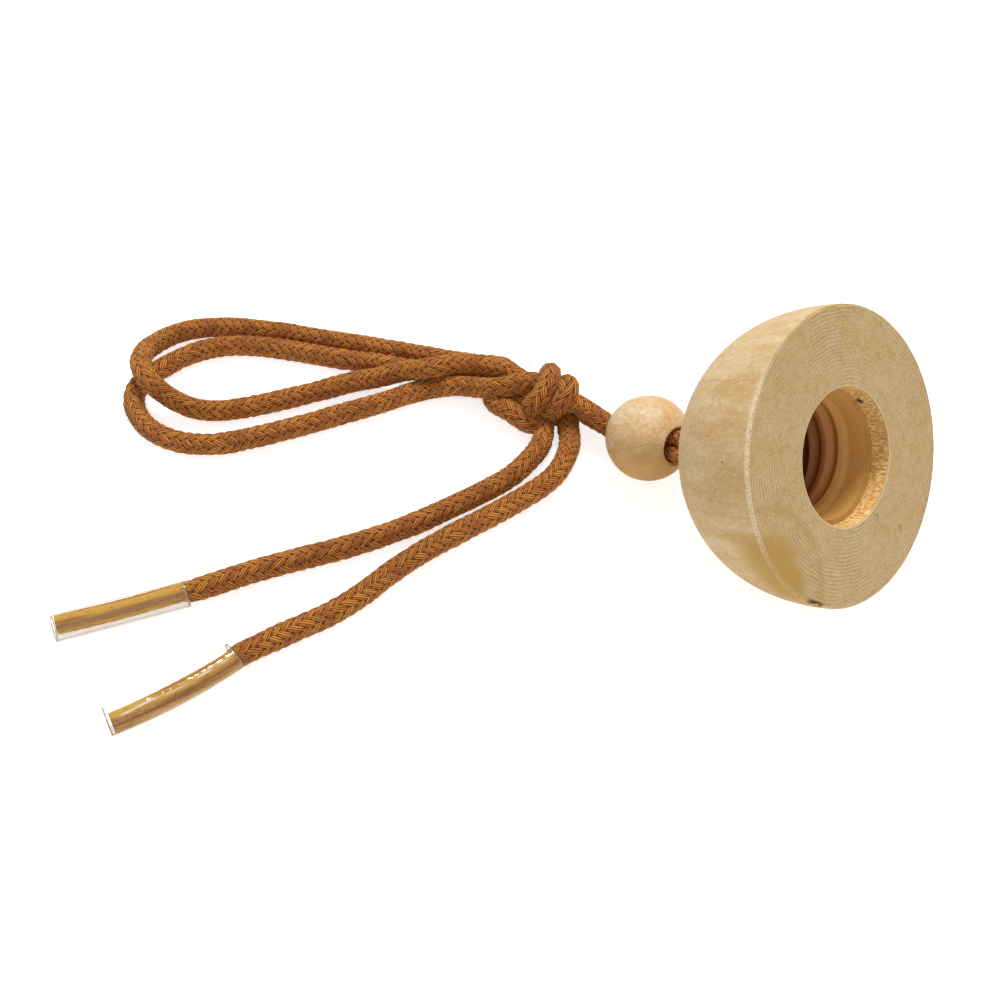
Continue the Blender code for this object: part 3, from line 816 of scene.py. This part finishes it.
# -------- the two strands
def in_cap(angle, radius, depth):
    """A point in the cap from its angle in degrees, its radius and its depth below the face."""
    turn = math.radians(angle)
    return FACE_CENTRE + CAP_TURN @ (radius * math.cos(turn), radius * math.sin(turn), -depth)


def neck_points(side):
    """The strand's points from the cap's cord hole to the slip knot: side +1 above, -1 below."""
    middle = [FACE_CENTRE - CAP_AXIS * depth for depth in NECK_AT_CAP_DEPTHS]
    middle += [np.array(point) for point in NECK_BETWEEN]
    middle += [BEAD_CENTRE + BEAD_AXIS * along for along in NECK_ALONG_BEAD]
    middle += [np.array(point) for point in NECK_TO_KNOT]
    points = []
    for i, point in enumerate(middle):
        up = np.array((0, -math.sin(NECK_ROLLS[i]), math.cos(NECK_ROLLS[i])))
        along = unit(middle[min(i + 1, len(middle) - 1)] - middle[max(i - 1, 0)])
        across = up - along * up.dot(along)
        offset = np.interp(np.linalg.norm(point - BEAD_CENTRE), *NECK_OFFSETS)
        points.append(point + unit(across) * side * offset)
    return points


def braid_height(across, along):
    """The braid's relief in mm: eight carriers each way, each over two and under two."""
    def carrier_height(this, other, phase):
        carrier = np.floor(this)
        crown = 1 - (2 * (this - carrier) - 1) ** 2
        lift = np.cos((other + carrier - phase) * math.pi / 2)
        return CARRIER_LIFT * lift + CARRIER_CROWN * crown

    left, right = across - along, across + along
    return np.maximum(carrier_height(left, right, 1), carrier_height(right, left, 3))


def strand_radius(line, at, neck_end, crimp, packed, seed):
    """The radius along a strand: less in the neck, least in the bead, packed in the aglet."""
    near = np.argmin(np.linalg.norm(line - neck_end, axis=1))
    neck_share = falls_off(at - at[near], NECK_TAPER)
    radius = CORD_DIAMETER / 2 + (NECK_DIAMETER - CORD_DIAMETER) / 2 * neck_share
    radius = radius * (1 + 0.018 * wave(at, seed, 6, 0.3, 1.6))
    radius = radius + (packed / 2 - radius) * crimp
    to_bead = np.linalg.norm(line - BEAD_CENTRE, axis=1)
    return radius - BEAD_SQUEEZE * falls_off(to_bead - SQUEEZE_REACH, SQUEEZE_TAPER)


def braid_uv(across, along, turn, loops):
    """Each face corner's place in the braid. The faces that close a ring end at CARRIERS."""
    row = np.arange(len(turn) - 1)[:, None]
    side = np.arange(RING_SIDES)
    beside = (side + 1) % RING_SIDES
    upper = np.append(across[0] - turn[0], CARRIERS)
    u = np.stack([upper[side], upper[side + 1], upper[side + 1], upper[side]], axis=-1)
    u = u + turn[np.stack([row, row, row + 1, row + 1], axis=-1)]
    here, ahead = along[:-1], along[1:]
    v = np.stack([here, here[:, beside], ahead[:, beside], ahead], axis=-1)
    uv = np.zeros((loops, 2))
    uv[:u.size, 0] = u.reshape(-1)
    uv[:v.size, 1] = v.reshape(-1)
    return uv.reshape(-1)


def make_strand(name, points, neck_end, seed, surface, aglet):
    """One braided strand as a closed tube. neck_end is the route point where the neck stops.

    In its aglet the strand is packed to a smaller diameter and leans to one side of the film.
    """
    line, at = smooth_line(points, RING_STEP)
    crimp = falls_off(at[-1] + AGLET_END_MARGIN - AGLET_LENGTH - at, CRIMP_TAPER)
    radius = strand_radius(line, at, neck_end, crimp, aglet["packed"], seed)
    line = line + crimp[:, None] * np.array(aglet["lean"])
    line = line + aglet_bow(points[-1], points[-3], at[-1] - at, aglet)
    tangent, normal, binormal = carried_frames(line)

    sides = np.arange(RING_SIDES)
    turn = 0.35 * wave(at, seed + 1, 5, 0.05, 0.3)
    across = sides * CARRIERS / RING_SIDES + turn[:, None]
    along = (at / BRAID_STEP + 0.22 * wave(at, seed + 2, 6, 0.2, 1.2))[:, None]
    along = along + 0.10 * ring_wave(2 * math.pi * across / CARRIERS, seed + 3, (1, 2, 3))
    rough = 0.022 * wave(at, seed + 4, 8, 3.0, 9.0)[:, None] * np.cos(across * 2.1 + at[:, None])
    relief = (braid_height(across, along) - BRAID_MIDDLE + rough) * (1 - 0.75 * crimp[:, None])
    out = ring_directions(normal, binormal, 2 * math.pi * sides / RING_SIDES)
    skin = line[:, None, :] + out * (radius[:, None] + relief)[:, :, None]
    onto_table(skin)

    rows = len(line)
    dimple = line[-1] - tangent[-1] * END_DIMPLE
    vertices = np.vstack([skin.reshape(-1, 3), line[0], dimple]) * MM
    faces = grid_faces(rows, RING_SIDES).tolist()
    first_hub, last_hub = rows * RING_SIDES, rows * RING_SIDES + 1
    last_ring = (rows - 1) * RING_SIDES
    for i in range(RING_SIDES):
        j = (i + 1) % RING_SIDES
        faces.append((first_hub, j, i))
        faces.append((last_hub, last_ring + i, last_ring + j))
    mesh = mesh_from(name, vertices, faces)
    uv = braid_uv(across, along, turn, len(mesh.loops))
    mesh.uv_layers.new(name="braid").data.foreach_set("uv", uv)
    lit = LIT_SIDE - tangent[-1] * tangent[-1].dot(LIT_SIDE)
    lit = (out @ lit / np.linalg.norm(lit)).reshape(-1)
    set_values(mesh, "lit", np.append(lit, (0.0, 0.0)))
    set_values(mesh, "crimp", np.append(np.repeat(crimp, RING_SIDES), (0.0, 3.0)))
    return link(name, mesh, surface), line, at, skin, out


def make_fuzz(name, line, at, skin, out, start, end, seed, surface):
    """Short loose fibres on the strand between two arc lengths, each a thin closed spike."""
    count = FUZZ_COUNT
    rng = np.random.default_rng(seed)
    rows = rng.integers(np.searchsorted(at, start), np.searchsorted(at, end), count)
    sides = rng.integers(0, RING_SIDES, count)
    root, away, along = skin[rows, sides], out[rows, sides], carried_frames(line)[0][rows]
    lean = rng.normal(0, 1, (count, 1)) * along
    lean = lean + rng.normal(0, 0.8, (count, 1)) * np.cross(along, away)
    first = away * 0.55 + lean * 0.6
    first /= np.linalg.norm(first, axis=1, keepdims=True)
    curl = rng.normal(0, 0.6, (count, 3)) - away * 0.25
    length = rng.uniform(0.14, 0.5, (count, 1))
    side_a = np.cross(first, (0.31, 0.52, 0.79))
    side_a /= np.linalg.norm(side_a, axis=1, keepdims=True)
    side_b = np.cross(first, side_a)
    corners = []
    for share, reach in ((0.0, 0.013), (0.55, 0.010), (1.0, 0.004)):
        centre = root - away * 0.03 + (first * share + curl * share * share * 0.5) * length
        for corner in range(3):
            angle = 2 * math.pi * corner / 3
            corners.append(centre + (side_a * math.cos(angle) + side_b * math.sin(angle)) * reach)
    vertices = np.stack(corners, axis=1).reshape(-1, 3) * MM
    onto_table(vertices)
    one = grid_faces(3, 3).tolist() + [[2, 1, 0], [6, 7, 8]]
    faces = [[base + index for index in face] for base in range(0, 9 * count, 9) for face in one]
    return link(name, mesh_from(name, vertices, faces), surface)


# -------- aglets
def aglet_bow(far, before, from_end, aglet):
    """How far the aglet's middle hangs sideways, at distances in mm from the strand's end."""
    back = np.array(before) - np.array(far)
    sideways = np.cross(unit(back), (0.0, 0.0, 1.0))
    share = np.clip((from_end + AGLET_END_MARGIN) / AGLET_LENGTH, 0, 1)
    return sideways * (aglet["bow"] * 4 * share * (1 - share))[:, None]


def make_aglet(name, route, aglet, seed, surface):
    """A thin-walled clear tube on a tail's end, bowed sideways, with a fin and a painted
    highlight line.
    """
    rows, sides = AGLET_RINGS, AGLET_SIDES
    far = np.array(route[-1])
    back = unit(np.array(route[-3]) - far)
    share = np.linspace(0, 1, rows)
    along = share * AGLET_LENGTH
    line = far + back * along[:, None]
    line += aglet_bow(route[-1], route[-3], along - AGLET_END_MARGIN, aglet)
    _, normal, binormal = carried_frames(line)
    angle = 2 * math.pi * np.arange(sides) / sides
    out = ring_directions(normal, binormal, angle)

    from_fin = np.arccos(np.clip(out @ unit(np.array(aglet["fin_towards"])), -1, 1))
    fin_reach = aglet["fin"] * bell(from_fin, 0.34)
    cut = bell(along, 0.13) + bell((1 - share) * AGLET_LENGTH, 0.16)
    rim = np.clip(bell(from_fin, 0.07) + cut[:, None], 0, 1)

    # Painted highlight: a white line along the film, placed round the tube by the light's side.
    lit = LIT_SIDE - back * back.dot(LIT_SIDE)
    wavering = 0.06 * wave(share * 9, seed + 2, 4, 0.3, 2.0)[:, None]
    near_side = np.cross(lit, back) @ np.moveaxis(out, 2, 1) < 0
    painted_highlight = bell(out @ unit(lit) - aglet["painted_highlight"] - wavering, 0.085) * near_side
    painted_highlight *= np.clip(0.72 + 0.5 * wave(share * 14, seed + 3, 5, 0.5, 3.0), 0, 1)[:, None]
    painted_highlight *= np.clip(np.minimum(share, 1 - share) / 0.08, 0, 1)[:, None]

    crease = 0.02 * wave(share * 40, seed, 6, 0.5, 3.0)[:, None]
    crease = crease * np.cos(2 * angle + 0.7)
    flat = -0.05 * np.abs(out[:, :, 2]) ** 3
    outer = AGLET_RADIUS + fin_reach + crease + flat
    inner = AGLET_RADIUS - AGLET_WALL + 0.75 * fin_reach + crease + flat
    shells = [line[:, None, :] + out * reach[:, :, None] for reach in (outer, inner)]
    vertices = np.vstack([shell.reshape(-1, 3) for shell in shells]) * MM
    onto_table(vertices)
    quads = grid_faces(rows, sides)
    faces = quads.tolist() + (quads[:, ::-1] + rows * sides).tolist()
    inside, last = rows * sides, (rows - 1) * sides
    for i in range(sides):
        j = (i + 1) % sides
        faces.append((j, i, inside + i, inside + j))
        faces.append((last + i, last + j, inside + last + j, inside + last + i))
    mesh = mesh_from(name, vertices, faces)
    set_values(mesh, "rim", np.tile(rim.reshape(-1), 2))
    set_values(mesh, "painted_highlight", np.append(painted_highlight.reshape(-1), np.zeros(painted_highlight.size)))
    return link(name, mesh, surface)


# -------- cap and bead
def profile_through(corners, steps):
    """Points between corner points (radius, height), with a number of steps for each stretch."""
    points = []
    for (a, b), count in zip(zip(corners, corners[1:]), steps):
        for i in range(count):
            share = i / count
            points.append((a[0] + (b[0] - a[0]) * share, a[1] + (b[1] - a[1]) * share))
    return points


def thread_radius(depth, angle):
    """The threaded wall's radius at a depth, round the socket. The thread fades at its ends."""
    fade_in = (depth - THREAD_START) / (0.8 * THREAD_PITCH)
    fade_out = (THREAD_END - depth) / (0.5 * THREAD_PITCH)
    strength = max(0.0, min(1.0, fade_in, fade_out))
    turn = (depth / THREAD_PITCH + angle / (2 * math.pi)) % 1.0
    ridge = np.clip(1.6 * np.sin(math.pi * turn) - 0.45, 0.0, 1.0)
    return THREAD_MAJOR - strength * ridge * (THREAD_MAJOR - THREAD_MINOR)


def cap_profile(angle):
    """Grids of the cap's radius and height, from the cord hole's mouth round and back to it.

    The third value is each row's kind, for the rows that are then worn: dome, rim and tear.
    """
    radii, heights, kinds = [], [], []

    def row(radius, height, kind="plain"):
        radii.append(np.broadcast_to(radius, len(angle)).astype(float))
        heights.append(np.broadcast_to(height, len(angle)).astype(float))
        kinds.append(kind)

    mouth = math.acos((CORD_HOLE_RADIUS + 0.8) / CAP_RADIUS)
    for polar in np.linspace(mouth, 0.03, 64):
        depth = CAP_DEPTH * math.sin(polar) ** (2 / DOME_POWER)
        row(CAP_RADIUS * math.cos(polar), -depth, "dome")
    bends = [math.radians(turn) for turn in range(0, 91, 15)]
    bends = [(1 - math.sin(bend), 1 - math.cos(bend)) for bend in bends]
    for down, inward in bends:
        row(CAP_RADIUS - RIM_ROUND * inward, -RIM_ROUND * down, "rim")
    bore, step = COUNTERBORE_RADIUS, COUNTERBORE_DEPTH
    for radius in np.linspace(CAP_RADIUS - RIM_ROUND - 0.2, bore + 0.3, 40):
        row(radius, 0.0)
    for outward, down in bends:
        row(bore + COUNTERBORE_ROUND * outward, -COUNTERBORE_ROUND * down)
    for depth in np.linspace(0.3, step - 0.05, 14):
        row(bore, -depth, "tear")
    row(bore - 0.02, -step)
    row(THREAD_MAJOR + 0.06, -step)
    row(THREAD_MAJOR, -step - 0.06)
    for depth in np.linspace(step + 0.3, THREAD_START - 0.2, 8):
        row(THREAD_MAJOR, -depth)
    thread_rows = round((THREAD_END - THREAD_START) / THREAD_PITCH * 24)
    for depth in np.linspace(THREAD_START, THREAD_END, thread_rows):
        row(thread_radius(depth, angle), -depth)
    recess, hole, dome_top = RECESS_RADIUS, CORD_HOLE_RADIUS, -CAP_DEPTH
    inner = (
        (THREAD_MAJOR, -SOCKET_DEPTH), (recess + 0.2, -SOCKET_DEPTH),
        (recess, -SOCKET_DEPTH - 0.2), (recess, -RECESS_DEPTH),
        (hole, -RECESS_DEPTH), (hole, dome_top + 1.2),
        (hole + 0.24, dome_top + 0.68), (hole + 0.5, dome_top + 0.45),
    )
    for radius, height in profile_through(inner, (6, 2, 8, 4, 8, 3, 2)):
        row(radius, height)
    return np.array(radii), np.array(heights), np.array(kinds)[:, None]


def make_cap(surface):
    """The turned cap, with a worn and chipped rim and torn fibres on the counterbore's wall."""
    angle = np.linspace(0, 2 * math.pi, CAP_SIDES, endpoint=False)
    radius, height, kinds = cap_profile(angle)
    rim, tear = kinds == "rim", kinds == "tear"
    outside = rim | (kinds == "dome")
    radius = radius + outside * 0.02 * ring_wave(angle, 5, (2, 3, 5))
    worn = ring_wave(angle, 8, (7, 11, 18, 29, 41))
    radius = radius - rim * 0.035 * np.abs(worn)
    chip = bell(angle - CHIP_ANGLE, CHIP_WIDTH) * (1 + 0.5 * ring_wave(angle, 9, (60, 83, 110)))
    radius = radius - rim * 0.34 * chip
    height = height - (rim & (height > -0.2)) * 0.22 * chip
    fibres = ring_wave(angle, 12, (47, 61, 73, 89, 104, 118))
    patches = ring_wave(angle, 13, (5, 9, 14, 23))
    slip = np.sin(height * 3.1 + 2.3 * ring_wave(angle, 14, (8, 13, 31)))
    depth = 0.10 * fibres * np.clip(0.6 + patches, 0.15, 1.3) * (0.6 + 0.4 * slip)
    radius = radius + tear * depth
    return lathe("cap_turned", radius, height, CAP_TURN, FACE_CENTRE, surface)


def make_bead(surface):
    """A turned ball, a little uneven, with a drilled hole whose lips are rounded."""
    rows, sides = 96, BEAD_SIDES
    angle = np.linspace(0, 2 * math.pi, sides, endpoint=False)
    mouth = math.asin((BEAD_HOLE_RADIUS + BEAD_LIP) / BEAD_RADIUS)
    top = BEAD_RADIUS * math.cos(mouth)
    lip = [
        (BEAD_HOLE_RADIUS + BEAD_LIP * (1 - math.sin(bend)), top - BEAD_LIP * (1 - math.cos(bend)))
        for bend in np.radians((15, 30, 45, 60, 75))
    ]
    profile = [
        (BEAD_RADIUS * math.sin(polar), -BEAD_RADIUS * math.cos(polar))
        for polar in np.linspace(mouth, math.pi - mouth, rows)
    ]
    profile += lip
    profile += [(BEAD_HOLE_RADIUS, h) for h in np.linspace(top - BEAD_LIP, BEAD_LIP - top, 14)]
    profile += [(r, -h) for r, h in reversed(lip)]
    radius = np.array([[r] * sides for r, _ in profile])
    height = np.array([[h] * sides for _, h in profile])
    outside = (np.arange(len(profile)) < rows)[:, None]
    uneven = 0.03 * ring_wave(angle, 21, (2, 3, 4))
    radius = radius + outside * uneven * (radius / BEAD_RADIUS) ** 2
    return lathe("bead_turned", radius, height, BEAD_TURN, BEAD_CENTRE, surface)


# -------- room
def make_table(surface):
    corners = [
        (x * TABLE_HALF, y * TABLE_HALF, TABLE_TOP) for x, y in ((-1, -1), (1, -1), (1, 1), (-1, 1))
    ]
    table = link("table", mesh_from("table", corners, [(0, 1, 2, 3)], False), surface)


def make_light(name, place, size, power):
    data = bpy.data.lights.new(name, "AREA")
    data.shape = "DISK"
    data.size = size
    data.energy = power
    lamp = put_in_scene(name, data)
    lamp.location = place
    aim = Vector(LIGHTS_AIM) - Vector(place)
    lamp.rotation_euler = aim.to_track_quat("-Z", "Y").to_euler()


def make_room():
    make_table(table_material())
    world = bpy.data.worlds.new("studio")
    bpy.context.scene.world = world
    world.use_nodes = True
    nodes, links = world.node_tree.nodes, world.node_tree.links
    background = nodes["Background"]
    background.inputs["Color"].default_value = (1.0, 0.995, 0.985, 1.0)
    strength = nodes.new("ShaderNodeMapRange")
    strength.inputs["To Min"].default_value = WORLD_LIGHTS
    strength.inputs["To Max"].default_value = WORLD_SEEN
    seen = nodes.new("ShaderNodeLightPath").outputs["Is Camera Ray"]
    links.new(seen, strength.inputs["Value"])
    links.new(strength.outputs[0], background.inputs["Strength"])
    for light in LIGHTS:
        make_light(*light)
    bpy.context.scene.view_settings.view_transform = "Standard"


def add_strand(letter, cord, cotton, loose):
    """A strand on its route, which ends a little inside its aglet, and its loose fibres."""
    neck = neck_points(cord["side"])
    points = [in_cap(*spot) for spot in cord["stopper"]] + neck + list(cord["route"])
    far, before = np.array(points[-1]), np.array(points[-2])
    points[-1] = far + unit(before - far) * AGLET_END_MARGIN
    strand, line, at, skin, out = make_strand(
        f"cord_strand_{letter}", points, neck[-1], cord["seed"], cotton, cord["aglet"],
    )
    fuzz_start = at[np.argmin(np.linalg.norm(line - neck[-2], axis=1))]
    fuzz_end = at[-1] + AGLET_END_MARGIN - AGLET_LENGTH
    fuzz = make_fuzz(
        f"cord_fuzz_{letter}", line, at, skin, out, fuzz_start, fuzz_end, cord["seed"] + 50, loose,
    )
    for piece in (strand, fuzz):
        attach(piece, "cord")
    return strand, fuzz, line, at


def main():
    make_camera()
    cotton, loose, film = cord_material(), fuzz_material(), plastic_material()
    make_room()

    for letter, cord in STRANDS.items():
        strand, fuzz, line, at = add_strand(letter, cord, cotton, loose)
        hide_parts(*cord["stands_for"])
        aglet = make_aglet(
            f"aglet_film_{letter}", cord["route"], cord["aglet"], cord["seed"] + 70, film,
        )
        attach(aglet, "cord")
        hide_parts(f"aglet_{letter}")

    cap = make_cap(cap_material())
    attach(cap, "cap")
    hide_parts("screw_cap")

    bead = make_bead(bead_material())
    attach(bead, "bead")
    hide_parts("bead")


main()
